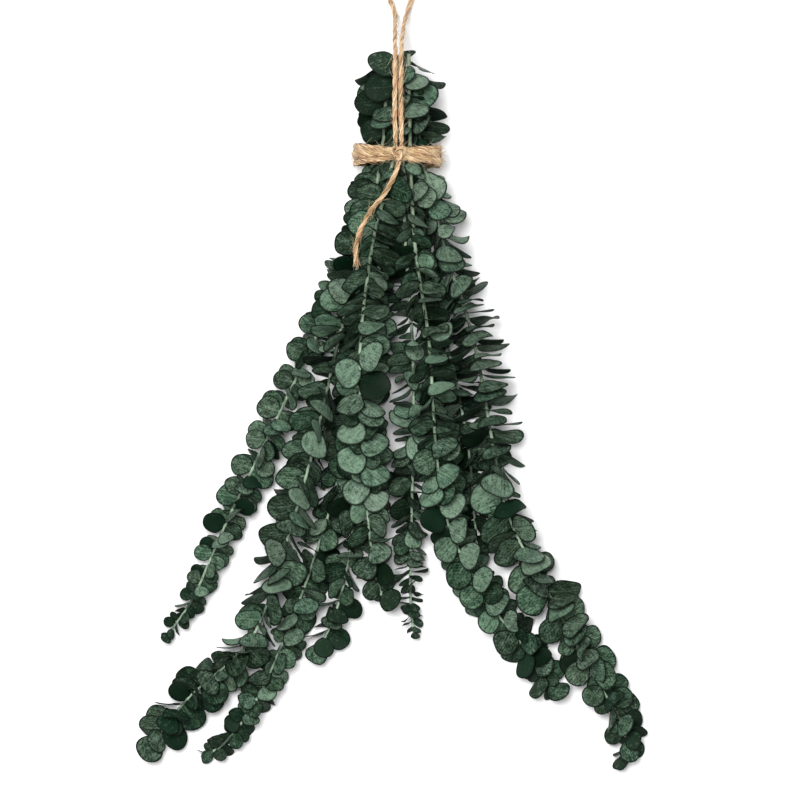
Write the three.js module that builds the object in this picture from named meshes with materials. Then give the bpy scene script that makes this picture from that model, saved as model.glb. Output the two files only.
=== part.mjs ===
// A dried bunch of eucalyptus: nine leafy stems laid flat and tied together with jute twine.
// Each stem carries pairs of round leaves, every pair turned a quarter turn from the last.
// Millimetres. X runs across the bunch, the tips lie towards -Y and the cut ends towards +Y, +Z is up.
import * as THREE from "three";
import { mergeVertices } from "three/addons/utils/BufferGeometryUtils.js";

// The tie: flat turns of twine round the squeezed stems
const twineDiameter = 3;
const bandTurns = 5;
const bandHalfWidth = 27;
const bandHalfHeight = 21;
const bandCentreHeight = 27;
const bandHalfLength = (bandTurns * twineDiameter) / 2;
const bandRidge = 0.035; // depth of the furrow between two turns, as a share of the band's radius
// Leaves stay out of the tie's wall: these shares of its outer radius, and this much past its ends
const bandInside = 0.865;
const bandOutside = 1.08;
const bandRoom = 1.5;

// Leaf blades and stems
const bladeThickness = 0.7;
const stemRadiusAtCut = 1.6;
const stemRadiusAtTip = 0.9;
const stemPoints = 240; // points that a stem's smooth centreline is read off at
const rodPoints = 160; // points that a blade's distance from a stem or the twine is tested at
const nodeHalfLength = 0.55; // half the length of stem that a pair of blades grows from
const bladeGap = 0.4; // free space kept between two blades
const bladeReach = 0.52; // radius of the disc that a blade fills, as a share of its length
const leastLift = 0.36; // least slope of a blade away from the side of the stem that it grows on
const leastHeight = 1.1; // least height of a blade's wide part over that side
const bladeArch = 0.045; // height of a blade's arch, as a share of its length
const leastSpread = 8; // degrees between a blade and its stem, at the least and at the most
const mostSpread = 125;
const flatFrom = 40; // a blade that stands out this many degrees begins to turn its face up,
const flatFull = 75; // and one that stands out this many turns it up in full
const outlinePoints = 16; // points round a blade that are kept out of the tie's wall
// The full width of each chance variation: degrees, degrees, degrees, and two shares
const chance = { azimuth: 14, spread: 12, roll: 12, faceUp: 0.2, length: 0.16 };
// Half widths of a blade at places along it, both as shares of its length
const bladeRows = [
  [0.31, 0.48],
  [0.95, 0.27],
];

// How leaf size changes from the cut end (0) towards the tip (1) of a stem, which has a size of its own
const sizeAlongStem = [
  [0, 0.82],
  [0.2, 0.74],
  [0.5, 0.84],
  [0.75, 0.82],
];
// The angle between a leaf and its stem, in degrees, by its distance from the tie: the twine folds leaves in
const spreadByDistance = [
  [-300, 66],
  [-180, 70],
  [-110, 78],
  [-60, 80],
  [-26, 72],
  [-8, 25],
  [0, 12],
  [8, 25],
  [26, 60],
  [60, 70],
];

// The last leaves of a stem close towards its tip, by this many degrees
const closingAtTip = [
  [0.93, 0],
  [1, 35],
];

// Each stem's route from its cut end through the tie to its tip. leaf is its longest blade, tipSize the share
// of it that is left at the tip, spacing the distance between pairs and turn the first pair's angle. Blades
// stand edge up near the tie and turn their faces up further out: faceUp lists how far, from 0 to 1, by
// distance from the tie.
const stems = [
  {
    name: "stem_centre",
    leaf: 22,
    tipSize: 0.6,
    spacing: 9,
    turn: 40,
    faceUp: [[-140, 0.72], [-70, 0.25]],
    route: [
      [-1, 62, 36], [-2, 0, 40], [-14, -51, 42], [-22, -117, 41],
      [-20, -177, 33], [-16, -232, 20], [-8, -271, 9],
    ],
  },
  {
    name: "stem_left",
    leaf: 22,
    tipSize: 0.72,
    spacing: 9.5,
    turn: 8,
    faceUp: [[-200, 0.85], [-120, 0.3]],
    route: [
      [-6, 56, 30], [-9, 0, 34], [-21, -57, 34], [-35, -111, 31], [-52, -183, 24],
      [-70, -243, 19], [-88, -291, 15], [-126, -327, 11], [-147, -354, 6],
    ],
  },
  {
    name: "stem_right",
    leaf: 24,
    tipSize: 0.52,
    spacing: 9,
    turn: 12,
    faceUp: [[-220, 0.8], [-130, 0.15]],
    route: [
      [8, 52, 27], [15, 0, 27], [29, -57, 27], [46, -111, 25], [58, -175, 21],
      [68, -219, 18], [93, -267, 15], [120, -315, 12], [136, -343, 9], [140, -364, 5],
    ],
  },
  {
    name: "stem_right_inner",
    leaf: 20,
    tipSize: 0.68,
    spacing: 9,
    turn: 30,
    faceUp: [[-200, 0.85], [-120, 0.25]],
    route: [
      [7, 60, 36], [8, 0, 38], [11, -57, 38], [19, -111, 36], [24, -183, 31],
      [32, -225, 24], [54, -267, 15], [75, -294, 11], [95, -324, 6],
    ],
  },
  {
    name: "stem_slender",
    leaf: 19,
    tipSize: 0.3,
    spacing: 10,
    turn: 24,
    faceUp: [[-200, 0.2], [-60, 0.35]],
    route: [
      [4, 52, 30], [4, 0, 33], [5, -50, 33], [9, -110, 28],
      [10, -165, 20], [9, -210, 14], [8, -262, 9], [10, -289, 5],
    ],
  },
  {
    name: "stem_far_left",
    leaf: 16,
    tipSize: 0.38,
    spacing: 10,
    turn: 15,
    faceUp: [[-140, 0.85], [-80, 0.4]],
    route: [
      [-9, 46, 22], [-13, 0, 24], [-20, -40, 22], [-39, -88, 19], [-67, -147, 15],
      [-102, -219, 12], [-123, -266, 9], [-141, -292, 5],
    ],
  },
  {
    name: "stem_centre_behind",
    leaf: 20,
    tipSize: 0.65,
    spacing: 11,
    turn: 0,
    faceUp: [[-200, 0.7], [-140, 0.25]],
    route: [
      [1, 45, 26], [-1, 0, 25], [-9, -57, 26], [-18, -111, 25],
      [-24, -183, 20], [-28, -235, 14], [-36, -272, 10], [-47, -298, 6],
    ],
  },
  {
    name: "stem_left_behind",
    leaf: 20,
    tipSize: 0.4,
    spacing: 10.5,
    turn: 35,
    faceUp: [[-250, 0.8], [-160, 0.3]],
    route: [
      [-9, 40, 16], [-7, 0, 16], [-13, -57, 14], [-23, -111, 13], [-33, -183, 12],
      [-50, -243, 12], [-68, -291, 12], [-85, -328, 10], [-104, -354, 7], [-119, -363, 4],
    ],
  },
  {
    name: "stem_right_behind",
    leaf: 21,
    tipSize: 0.55,
    spacing: 11,
    turn: 22,
    faceUp: [[-220, 0.8], [-150, 0.25]],
    route: [
      [5, 38, 16], [7, 0, 15], [19, -57, 13], [30, -111, 13],
      [38, -147, 12], [44, -183, 10], [48, -232, 5],
    ],
  },
];

// The twine's free ends: a hanging loop past the cut ends, and one short tail over the leaves
const knotCentre = [1, 0, 51.1];
const knotRadius = 3;
const knotStrandRadius = 1.2;
const loopRoute = [
  [-0.8, 6.2, 51], [-1.1, 16, 51], [-1.3, 30, 50.5], [-1.2, 48, 48],
  [-1.1, 62, 41], [-1.2, 74, 26], [-1.6, 88, 8],
  [-7.5, 104, 2.5], [-5, 117.5, 2.5], [3, 121.5, 2.5], [10.5, 117, 2.5], [11.5, 104.5, 2.5],
  [6.2, 88, 8], [3.6, 74, 26], [2.6, 62, 41],
  [2.4, 48, 48], [2.3, 30, 50.5], [2.5, 16, 51], [2.8, 6.2, 51],
];
const tailRoute = [
  [1, -6.2, 51], [-2, -15, 51], [-8, -25, 51], [-16, -35, 50],
  [-22, -46, 48], [-24.5, -57, 47], [-24, -66, 46],
];
const loopSteps = 44;
const tailSteps = 10;
const twineSides = 8;
const bandSides = 20;

const colours = { leaf: 0x3f5f47, twine: 0xc9a574 };

const seed = 20;
const cornerSigns = [[-1, -1], [1, -1], [1, 1], [-1, 1]]; // across and through a blade

// Seeded random numbers from 0 to 1
function randomFrom(seed) {
  let state = seed;
  return () => {
    state = (Math.imul(state, 1664525) + 1013904223) >>> 0;
    return state / 4294967296;
  };
}

// A value read off a list of [place, value] pairs, straight between them
function readOff(pairs, place) {
  if (place <= pairs[0][0]) return pairs[0][1];
  for (let i = 1; i < pairs.length; i++) {
    const [x0, y0] = pairs[i - 1];
    const [x1, y1] = pairs[i];
    if (place <= x1) return y0 + ((place - x0) / (x1 - x0)) * (y1 - y0);
  }
  return pairs[pairs.length - 1][1];
}

function smooth(route) {
  return new THREE.CatmullRomCurve3(route.map((p) => new THREE.Vector3(...p)), false, "catmullrom", 0.5);
}

// A stem's centreline as close points with their distances from the cut end
function layOut(stem) {
  const points = smooth(stem.route).getPoints(stemPoints);
  const along = [0];
  for (let i = 1; i < points.length; i++) along.push(along[i - 1] + points[i].distanceTo(points[i - 1]));
  const length = along[along.length - 1];
  const at = (s) => {
    let i = 1;
    while (i < points.length - 1 && along[i] < s) i++;
    const share = (s - along[i - 1]) / (along[i] - along[i - 1]);
    return {
      point: points[i - 1].clone().lerp(points[i], share),
      tangent: points[i].clone().sub(points[i - 1]).normalize(),
    };
  };
  const radius = (s) => THREE.MathUtils.lerp(stemRadiusAtCut, stemRadiusAtTip, s / length);
  return { ...stem, length, at, radius, nodes: [] };
}

// Directions round a stem: towards its tip, to its side and upwards
function axesAt(tangent) {
  const side = tangent.clone().cross(new THREE.Vector3(0, 0, 1)).normalize();
  return { tangent, side, up: side.clone().cross(tangent) };
}

// The direction round a stem at an angle from its side, counted upwards
function turned({ side, up }, angle) {
  return side.clone().multiplyScalar(Math.cos(angle)).addScaledVector(up, Math.sin(angle));
}

// How a blade may be moved from its free pose, the least change first: bent to the stem, rolled and swung
const bends = [0, 15, -15, 30, -30, 45, 60];
const rolls = [0, 25, -25, 50, -50];
const swings = [0, 30, -30, 60, -60];
const sizes = [1, 0.82, 0.66];
const costOf = ({ bend, roll, swing }) => Math.abs(bend) + Math.abs(roll) + Math.abs(swing);
const changes = bends
  .flatMap((bend) => rolls.flatMap((roll) => swings.map((swing) => ({ bend, roll, swing }))))
  .sort((a, b) => costOf(a) - costOf(b));

// A blade's pose: root on the stem's side, axis to its tip, normal of its face, and its length
function poseBlade(node, change, size) {
  const { tangent, up } = node.axes;
  const azimuth = THREE.MathUtils.degToRad(node.azimuth + change.swing);
  const degrees = THREE.MathUtils.clamp(node.spread - change.bend, leastSpread, mostSpread);
  const spread = THREE.MathUtils.degToRad(degrees);
  const radial = turned(node.axes, azimuth);
  const axis = tangent.clone().multiplyScalar(Math.cos(spread)).addScaledVector(radial, Math.sin(spread));
  const normal = tangent.clone().multiplyScalar(Math.sin(spread)).addScaledVector(radial, -Math.cos(spread));
  const flat = up.clone().addScaledVector(axis, -up.dot(axis));
  if (flat.dot(normal) < -0.3 * flat.length()) flat.negate();
  const faceUp = node.faceUp * THREE.MathUtils.smoothstep(degrees, flatFrom, flatFull);
  normal.multiplyScalar(1 - faceUp).addScaledVector(flat, faceUp).normalize();
  normal.applyAxisAngle(axis, THREE.MathUtils.degToRad(node.roll + change.roll));
  const length = node.length * size;
  const centre = node.root.clone().addScaledVector(axis, bladeReach * length);
  const across = normal.clone().cross(axis);
  return { node, root: node.root, axis, normal, across, length, centre, reach: bladeReach * length };
}

// Whether two round blades come nearer than the gap: where the planes meet, both have to be out of reach
function bladesClear(a, b) {
  const between = b.centre.clone().sub(a.centre);
  const room = bladeThickness + bladeGap;
  if (between.length() > a.reach + b.reach + room) return true;
  const line = a.normal.clone().cross(b.normal);
  const slope = line.length();
  const offA = Math.abs(between.dot(b.normal)) - room;
  const offB = Math.abs(between.dot(a.normal)) - room;
  if (slope < 0.02) return offA > 0;
  const reachA = (a.reach + bladeGap / 2) ** 2 - (Math.max(0, offA) / slope) ** 2;
  const reachB = (b.reach + bladeGap / 2) ** 2 - (Math.max(0, offB) / slope) ** 2;
  if (reachA <= 0 || reachB <= 0) return true;
  return Math.abs(between.dot(line) / slope) > Math.sqrt(reachA) + Math.sqrt(reachB);
}

// Whether a blade keeps clear of round rods, given as close points with a radius
function rodClear(blade, rod) {
  const nearest = rod.radius + bladeThickness / 2 + bladeGap;
  return rod.points.every((point) => {
    const away = point.clone().sub(blade.centre);
    const high = away.dot(blade.normal);
    const out = Math.max(0, Math.sqrt(Math.max(0, away.lengthSq() - high * high)) - blade.reach);
    return high * high + out * out > nearest * nearest;
  });
}

// Whether a blade keeps off its own stem, the tie's wall and the surface that the bunch lies on
function bladeFits(blade) {
  const lowest = blade.centre.z - blade.reach * Math.sqrt(1 - blade.normal.z ** 2) - bladeThickness / 2;
  if (lowest < 0) return false;
  const { point, axes, out, stemRadius } = blade.node;
  if (blade.axis.dot(out) < leastLift) return false;
  for (const [u, v] of bladeRows) {
    for (const hand of [-1, 1]) {
      const corner = blade.axis.clone().multiplyScalar(u * blade.length);
      corner.addScaledVector(blade.across, hand * v * blade.length);
      if (u < 0.5 && corner.dot(out) < leastHeight) return false;
      corner.add(blade.root).sub(point);
      if (corner.cross(axes.tangent).length() < stemRadius + bladeThickness) return false;
    }
  }
  for (const share of [1, 0.6]) {
    for (let i = 0; i < outlinePoints; i++) {
      const turn = (i / outlinePoints) * 2 * Math.PI;
      const point = blade.centre
        .clone()
        .addScaledVector(blade.axis, Math.cos(turn) * blade.reach * share)
        .addScaledVector(blade.across, Math.sin(turn) * blade.reach * share);
      if (Math.abs(point.y) > bandHalfLength + bandRoom) continue;
      const round = Math.hypot(point.x / bandHalfWidth, (point.z - bandCentreHeight) / bandHalfHeight);
      if (round > bandInside && round < bandOutside) return false;
    }
  }
  return true;
}

// Places every stem's leaves, each in the first pose that is clear of all that is there already
function growLeaves(laid, twineRods) {
  const random = randomFrom(seed);
  const varied = (width) => width * (random() - 0.5);
  const blades = [];
  const rods = laid.map((stem) => ({
    name: stem.name,
    radius: stemRadiusAtCut,
    points: Array.from({ length: rodPoints }, (_, i) => stem.at((i / (rodPoints - 1)) * stem.length).point),
  }));
  for (const stem of laid) {
    let s = stem.spacing * 0.5;
    for (let k = 0; s < stem.length - 1; k++) {
      const share = s / stem.length;
      const { point, tangent } = stem.at(s);
      const axes = axesAt(tangent);
      const size = readOff([...sizeAlongStem, [1, stem.tipSize]], share) * stem.leaf;
      stem.nodes.push({ s, point, axes });
      for (const face of [k % 4, (k + 2) % 4]) {
        const facing = THREE.MathUtils.degToRad(stem.turn - 90 * face);
        const out = turned(axes, facing);
        const node = {
          index: k,
          face,
          point,
          axes,
          out,
          root: point.clone().addScaledVector(out, stem.radius(s) * Math.SQRT1_2),
          azimuth: stem.turn - 90 * face + varied(chance.azimuth),
          spread: readOff(spreadByDistance, point.y) - readOff(closingAtTip, share) + varied(chance.spread),
          roll: varied(chance.roll),
          faceUp: THREE.MathUtils.clamp(readOff(stem.faceUp, point.y) + varied(chance.faceUp), 0, 1),
          length: size * (1 + varied(chance.length)),
          stemRadius: stem.radius(s),
        };
        const blade = fitBlade(node, stem, blades, rods, twineRods);
        if (blade) blades.push({ ...blade, stem: stem.name });
      }
      s += stem.spacing * (0.45 + 0.55 * Math.min(1, size / stem.leaf + 0.1));
    }
  }
  return blades;
}

// The first size and pose that is clear, or nothing where there is no room for a leaf
function fitBlade(node, stem, blades, rods, twineRods) {
  const neighbours = blades.filter((b) => b.centre.distanceTo(node.point) < b.reach + 1.6 * node.length);
  for (const size of sizes) {
    for (const change of changes) {
      const blade = poseBlade(node, change, size);
      if (!bladeFits(blade)) continue;
      if (!neighbours.every((other) => bladesClear(blade, other))) continue;
      if (!twineRods.every((rod) => rodClear(blade, rod))) continue;
      if (!rods.every((rod) => rod.name === stem.name || rodClear(blade, rod))) continue;
      return blade;
    }
  }
  return null;
}

// A skin under construction: rings of four corners joined by strips, with corners in one list
class Skin {
  constructor() {
    this.positions = [];
    this.index = [];
  }

  ring(points) {
    const first = this.positions.length / 3;
    points.forEach((p) => this.positions.push(p.x, p.y, p.z));
    return points.map((_, i) => first + i);
  }

  at(i) {
    return new THREE.Vector3().fromArray(this.positions, 3 * i);
  }

  // A strip of four sides between two rings, each side split so that it bulges outwards; some may stay open
  strip(from, to, open = []) {
    for (let i = 0; i < 4; i++) {
      if (open.includes(i)) continue;
      const j = (i + 1) % 4;
      const [a, b, c, d] = [from[i], from[j], to[j], to[i]];
      const outward = this.at(b).sub(this.at(a)).cross(this.at(c).sub(this.at(a)));
      if (outward.dot(this.at(d).sub(this.at(a))) > 0) this.index.push(a, b, d, b, c, d);
      else this.index.push(a, b, c, a, c, d);
    }
  }

  cap([a, b, c, d]) {
    this.index.push(a, b, c, a, c, d);
  }
}

// The four corners of the stem's square section at a place on its centreline
function sectionAt(stem, s, point, axes) {
  return [0, 1, 2, 3].map((corner) => {
    const out = turned(axes, THREE.MathUtils.degToRad(stem.turn + 45 - 90 * corner));
    return point.clone().addScaledVector(out, stem.radius(s));
  });
}

// A blade grown out of an open side of the stem: its corners are paired with the side's by the least twist
function addBlade(skin, side, blade) {
  const { root, axis, normal, across, length } = blade;
  const row = ([u, v]) => {
    const middle = root.clone().addScaledVector(axis, u * length);
    middle.addScaledVector(normal, 4 * bladeArch * length * u * (1 - u));
    return cornerSigns.map(([x, z]) => {
      const corner = middle.clone().addScaledVector(across, x * v * length);
      return corner.addScaledVector(normal, (z * bladeThickness) / 2);
    });
  };
  const square = cornerSigns.map(([x, z]) => across.clone().multiplyScalar(x).addScaledVector(normal, z));
  const likeness = (shift) =>
    side.reduce((sum, corner, i) => sum + skin.at(corner).sub(root).dot(square[(i + shift) % 4]), 0);
  const shift = [0, 1, 2, 3].reduce((best, next) => (likeness(next) > likeness(best) ? next : best));
  let from = side;
  for (const place of bladeRows) {
    const points = row(place);
    const to = skin.ring([0, 1, 2, 3].map((i) => points[(i + shift) % 4]));
    skin.strip(from, to);
    from = to;
  }
  skin.cap(from);
}

// One leafy stem as a single closed skin
function leafyStem(stem, blades) {
  const skin = new Skin();
  const { point, tangent } = stem.at(0);
  let from = skin.ring(sectionAt(stem, 0, point, axesAt(tangent)));
  skin.cap([...from].reverse());
  stem.nodes.forEach((node, k) => {
    const own = blades.filter((blade) => blade.stem === stem.name && blade.node.index === k);
    const half = node.axes.tangent.clone().multiplyScalar(nodeHalfLength);
    const before = sectionAt(stem, node.s, node.point.clone().sub(half), node.axes);
    const after = sectionAt(stem, node.s, node.point.clone().add(half), node.axes);
    const lower = skin.ring(before);
    const upper = skin.ring(after);
    skin.strip(from, lower);
    skin.strip(lower, upper, own.map((blade) => blade.node.face));
    for (const blade of own) {
      const i = blade.node.face;
      const j = (i + 1) % 4;
      const side = [lower[i], lower[j], upper[j], upper[i]];
      addBlade(skin, side, blade);
    }
    from = upper;
  });
  const end = stem.at(stem.length);
  const tip = skin.ring(sectionAt(stem, stem.length, end.point, axesAt(end.tangent)));
  skin.strip(from, tip);
  skin.cap(tip);
  const geometry = new THREE.BufferGeometry();
  geometry.setAttribute("position", new THREE.Float32BufferAttribute(skin.positions, 3));
  return meshOf(stem.name, geometry.setIndex(skin.index), colours.leaf);
}

function meshOf(name, geometry, colour) {
  geometry.deleteAttribute("normal");
  geometry.deleteAttribute("uv");
  const whole = mergeVertices(geometry, 1e-4);
  whole.computeVertexNormals();
  const material = new THREE.MeshStandardMaterial({ color: colour, roughness: 0.75, metalness: 0 });
  const mesh = new THREE.Mesh(whole, material);
  mesh.name = name;
  return mesh;
}

// The twine's turns round the stems, side by side, as one ring with a ridge for each turn
function twineBand() {
  const profile = [];
  for (let turn = 0; turn < bandTurns; turn++) {
    const start = -bandHalfLength + turn * twineDiameter;
    profile.push([1 - bandRidge, start], [1, start + 0.5 * twineDiameter]);
  }
  profile.push([1 - bandRidge, bandHalfLength]);
  const inner = 1 - twineDiameter / bandHalfWidth;
  profile.push([inner, bandHalfLength], [inner, -bandHalfLength], profile[0]);
  const geometry = new THREE.LatheGeometry(profile.map(([r, y]) => new THREE.Vector2(r, y)), bandSides);
  geometry.scale(bandHalfWidth, 1, bandHalfHeight);
  geometry.translate(0, 0, bandCentreHeight);
  return meshOf("twine_band", geometry, colours.twine);
}

// A round length of twine along a route
function twineAlong(route, steps) {
  const section = new THREE.Shape(
    Array.from({ length: twineSides }, (_, i) => {
      const turn = (i / twineSides) * 2 * Math.PI;
      return new THREE.Vector2(Math.cos(turn), Math.sin(turn)).multiplyScalar(twineDiameter / 2);
    }),
  );
  return new THREE.ExtrudeGeometry(section, { steps, extrudePath: smooth(route), bevelEnabled: false });
}

// The tie's knot: a strand that passes over and under itself three times
function twineKnot() {
  const geometry = new THREE.TorusKnotGeometry(knotRadius, knotStrandRadius, 40, 6, 2, 3);
  geometry.translate(...knotCentre);
  return meshOf("twine_knot", geometry, colours.twine);
}

const laid = stems.map(layOut);
const twineRods = [loopRoute, tailRoute].map((route) => ({
  radius: twineDiameter / 2,
  points: smooth(route).getPoints(rodPoints),
}));
const blades = growLeaves(laid, twineRods);

const bunch = new THREE.Group();
for (const stem of laid) bunch.add(leafyStem(stem, blades));
bunch.add(twineBand());
bunch.add(twineKnot());
bunch.add(meshOf("twine_loop", twineAlong(loopRoute, loopSteps), colours.twine));
bunch.add(meshOf("twine_tail", twineAlong(tailRoute, tailSteps), colours.twine));

// The origin is under the middle of the bunch, at the surface that it lies on, without the twine's free ends
const heldPieces = bunch.children.filter((mesh) => !["twine_loop", "twine_tail"].includes(mesh.name));
const extent = new THREE.Box3();
heldPieces.forEach((mesh) => extent.expandByObject(mesh, true));
const middle = extent.getCenter(new THREE.Vector3());
bunch.children.forEach((mesh) => mesh.geometry.translate(-middle.x, -middle.y, -extent.min.z));

export default bunch;
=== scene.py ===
import math

import bpy
import numpy as np
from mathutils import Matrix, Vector


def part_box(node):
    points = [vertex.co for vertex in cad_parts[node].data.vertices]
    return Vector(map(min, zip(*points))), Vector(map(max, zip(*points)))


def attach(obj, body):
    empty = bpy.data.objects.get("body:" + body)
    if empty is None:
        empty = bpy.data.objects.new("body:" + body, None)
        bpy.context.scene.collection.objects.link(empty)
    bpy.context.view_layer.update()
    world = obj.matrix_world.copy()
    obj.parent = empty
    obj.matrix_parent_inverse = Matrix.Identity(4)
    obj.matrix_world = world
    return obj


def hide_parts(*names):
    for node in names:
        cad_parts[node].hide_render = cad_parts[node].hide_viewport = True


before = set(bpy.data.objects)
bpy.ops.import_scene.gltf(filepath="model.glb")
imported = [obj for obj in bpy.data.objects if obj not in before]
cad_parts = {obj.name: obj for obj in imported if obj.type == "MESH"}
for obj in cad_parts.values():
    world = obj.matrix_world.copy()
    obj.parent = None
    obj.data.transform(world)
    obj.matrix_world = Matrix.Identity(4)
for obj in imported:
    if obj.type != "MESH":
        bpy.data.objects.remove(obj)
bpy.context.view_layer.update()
print("frame loaded:", len(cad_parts), "nodes")

# What a user would change about the stems and their leaves, in millimetres and degrees from the tie
tie = {"halfWidth": 27, "halfHeight": 21, "centreHeight": 27, "turns": 5, "twine": 3,
       "inside": 0.865, "outside": 1.08, "room": 1.5}
leafRule = {
    "thickness": 0.7, "gap": 0.4, "reach": 0.52, "leastLift": 0.36, "leastHeight": 1.1,
    "rows": [(0.31, 0.48), (0.95, 0.27)],
    "leastSpread": 8, "mostSpread": 125, "flatFrom": 40, "flatFull": 75,
    "outlinePoints": 16, "outlineRings": (1, 0.6), "turnOver": 0.3, "sizes": (1, 0.82, 0.66), "seed": 20,
    "leastStep": 0.45, "stepBySize": 0.55, "sizeSlack": 0.1, "tipRoom": 1,
    "parallel": 0.02, "leafReach": 1.6, "rodReach": 60, "most": 2000,
    "azimuth": 14, "spread": 12, "roll": 12, "faceUp": 0.2, "length": 0.16,
}
young = {"size": 0.92, "room": 0.62, "sizes": (1, 0.8, 0.62), "turn": 22, "tipRoom": 4}
stemRule = {"radiusAtCut": 1.6, "radiusAtTip": 0.9, "points": 240, "rodPoints": 160}
sizeAlongStem = [(0, 0.82), (0.2, 0.74), (0.5, 0.84), (0.75, 0.82)]
spreadByDistance = [(-300, 66), (-180, 70), (-110, 78), (-60, 80), (-26, 72),
                    (-8, 25), (0, 12), (8, 25), (26, 60), (60, 70)]
closingAtTip = [(0.93, 0), (1, 35)]

stems = [
    {"name": "stem_centre", "leaf": 22, "tipSize": 0.6, "spacing": 9, "turn": 40,
     "faceUp": [(-140, 0.72), (-70, 0.25)],
     "route": [(-1, 62, 36), (-2, 0, 40), (-14, -51, 42), (-22, -117, 41),
               (-20, -177, 33), (-16, -232, 20), (-8, -271, 9)]},
    {"name": "stem_left", "leaf": 22, "tipSize": 0.72, "spacing": 9.5, "turn": 8,
     "faceUp": [(-200, 0.85), (-120, 0.3)],
     "route": [(-6, 56, 30), (-9, 0, 34), (-21, -57, 34), (-35, -111, 31), (-52, -183, 24),
               (-70, -243, 19), (-88, -291, 15), (-126, -327, 11), (-147, -354, 6)]},
    {"name": "stem_right", "leaf": 24, "tipSize": 0.52, "spacing": 9, "turn": 12,
     "faceUp": [(-220, 0.8), (-130, 0.15)],
     "route": [(8, 52, 27), (15, 0, 27), (29, -57, 27), (46, -111, 25), (58, -175, 21),
               (68, -219, 18), (93, -267, 15), (120, -315, 12), (136, -343, 9), (140, -364, 5)]},
    {"name": "stem_right_inner", "leaf": 20, "tipSize": 0.68, "spacing": 9, "turn": 30,
     "faceUp": [(-200, 0.85), (-120, 0.25)],
     "route": [(7, 60, 36), (8, 0, 38), (11, -57, 38), (19, -111, 36), (24, -183, 31),
               (32, -225, 24), (54, -267, 15), (75, -294, 11), (95, -324, 6)]},
    {"name": "stem_slender", "leaf": 19, "tipSize": 0.3, "spacing": 10, "turn": 24,
     "faceUp": [(-200, 0.2), (-60, 0.35)],
     "route": [(4, 52, 30), (4, 0, 33), (5, -50, 33), (9, -110, 28),
               (10, -165, 20), (9, -210, 14), (8, -262, 9), (10, -289, 5)]},
    {"name": "stem_far_left", "leaf": 16, "tipSize": 0.38, "spacing": 10, "turn": 15,
     "faceUp": [(-140, 0.85), (-80, 0.4)],
     "route": [(-9, 46, 22), (-13, 0, 24), (-20, -40, 22), (-39, -88, 19), (-67, -147, 15),
               (-102, -219, 12), (-123, -266, 9), (-141, -292, 5)]},
    {"name": "stem_centre_behind", "leaf": 20, "tipSize": 0.65, "spacing": 11, "turn": 0,
     "faceUp": [(-200, 0.7), (-140, 0.25)],
     "route": [(1, 45, 26), (-1, 0, 25), (-9, -57, 26), (-18, -111, 25),
               (-24, -183, 20), (-28, -235, 14), (-36, -272, 10), (-47, -298, 6)]},
    {"name": "stem_left_behind", "leaf": 20, "tipSize": 0.4, "spacing": 10.5, "turn": 35,
     "faceUp": [(-250, 0.8), (-160, 0.3)],
     "route": [(-9, 40, 16), (-7, 0, 16), (-13, -57, 14), (-23, -111, 13), (-33, -183, 12),
               (-50, -243, 12), (-68, -291, 12), (-85, -328, 10), (-104, -354, 7), (-119, -363, 4)]},
    {"name": "stem_right_behind", "leaf": 21, "tipSize": 0.55, "spacing": 11, "turn": 22,
     "faceUp": [(-220, 0.8), (-150, 0.25)],
     "route": [(5, 38, 16), (7, 0, 15), (19, -57, 13), (30, -111, 13),
               (38, -147, 12), (44, -183, 10), (48, -232, 5)]},
]
loopRoute = [
    (-0.8, 6.2, 51), (-1.1, 16, 51), (-1.3, 30, 50.5), (-1.2, 48, 48),
    (-1.1, 62, 41), (-1.2, 74, 26), (-1.6, 88, 8),
    (-7.5, 104, 2.5), (-5, 117.5, 2.5), (3, 121.5, 2.5), (10.5, 117, 2.5), (11.5, 104.5, 2.5),
    (6.2, 88, 8), (3.6, 74, 26), (2.6, 62, 41),
    (2.4, 48, 48), (2.3, 30, 50.5), (2.5, 16, 51), (2.8, 6.2, 51),
]
tailRoute = [
    (1, -6.2, 51), (-2, -15, 51), (-8, -25, 51), (-16, -35, 50),
    (-22, -46, 48), (-24.5, -57, 47), (-24, -66, 46),
]


def unit(v):
    return v / np.linalg.norm(v, axis=-1, keepdims=True)


def dot(a, b):
    return np.sum(a * b, axis=-1)


def smoothRoute(route, count):
    # a curve through all points of a route, with the end points' neighbours mirrored past the ends
    p = np.array(route, dtype=float)
    last = len(p) - 1
    places = np.arange(count + 1) / count * last
    i = np.minimum(np.floor(places).astype(int), last - 1)
    w = (places - i)[:, None]
    before = np.where((i > 0)[:, None], p[np.maximum(i - 1, 0)], 2 * p[0] - p[1])
    after = np.where((i + 2 <= last)[:, None], p[np.minimum(i + 2, last)], 2 * p[last] - p[last - 1])
    start, end = p[i], p[i + 1]
    t0, t1 = 0.5 * (end - before), 0.5 * (after - start)
    return (start + t0 * w + (-3 * start + 3 * end - 2 * t0 - t1) * w**2
            + (2 * start - 2 * end + t0 + t1) * w**3)


class StemLine:
    # a stem's centreline: where it is, and which way it runs, at a distance from its cut end
    def __init__(self, stem):
        self.points = smoothRoute(stem["route"], stemRule["points"])
        steps = np.linalg.norm(np.diff(self.points, axis=0), axis=1)
        self.along = np.concatenate([[0], np.cumsum(steps)])
        self.length = self.along[-1]

    def at(self, s):
        i = min(max(int(np.searchsorted(self.along, s, side="left")), 1), len(self.points) - 1)
        share = (s - self.along[i - 1]) / (self.along[i] - self.along[i - 1])
        low, high = self.points[i - 1], self.points[i]
        return low + (high - low) * share, unit(high - low)

    def radius(self, s):
        return stemRule["radiusAtCut"] + (stemRule["radiusAtTip"] - stemRule["radiusAtCut"]) * s / self.length


def readOff(pairs, place):
    return float(np.interp(place, [p[0] for p in pairs], [p[1] for p in pairs]))


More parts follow.
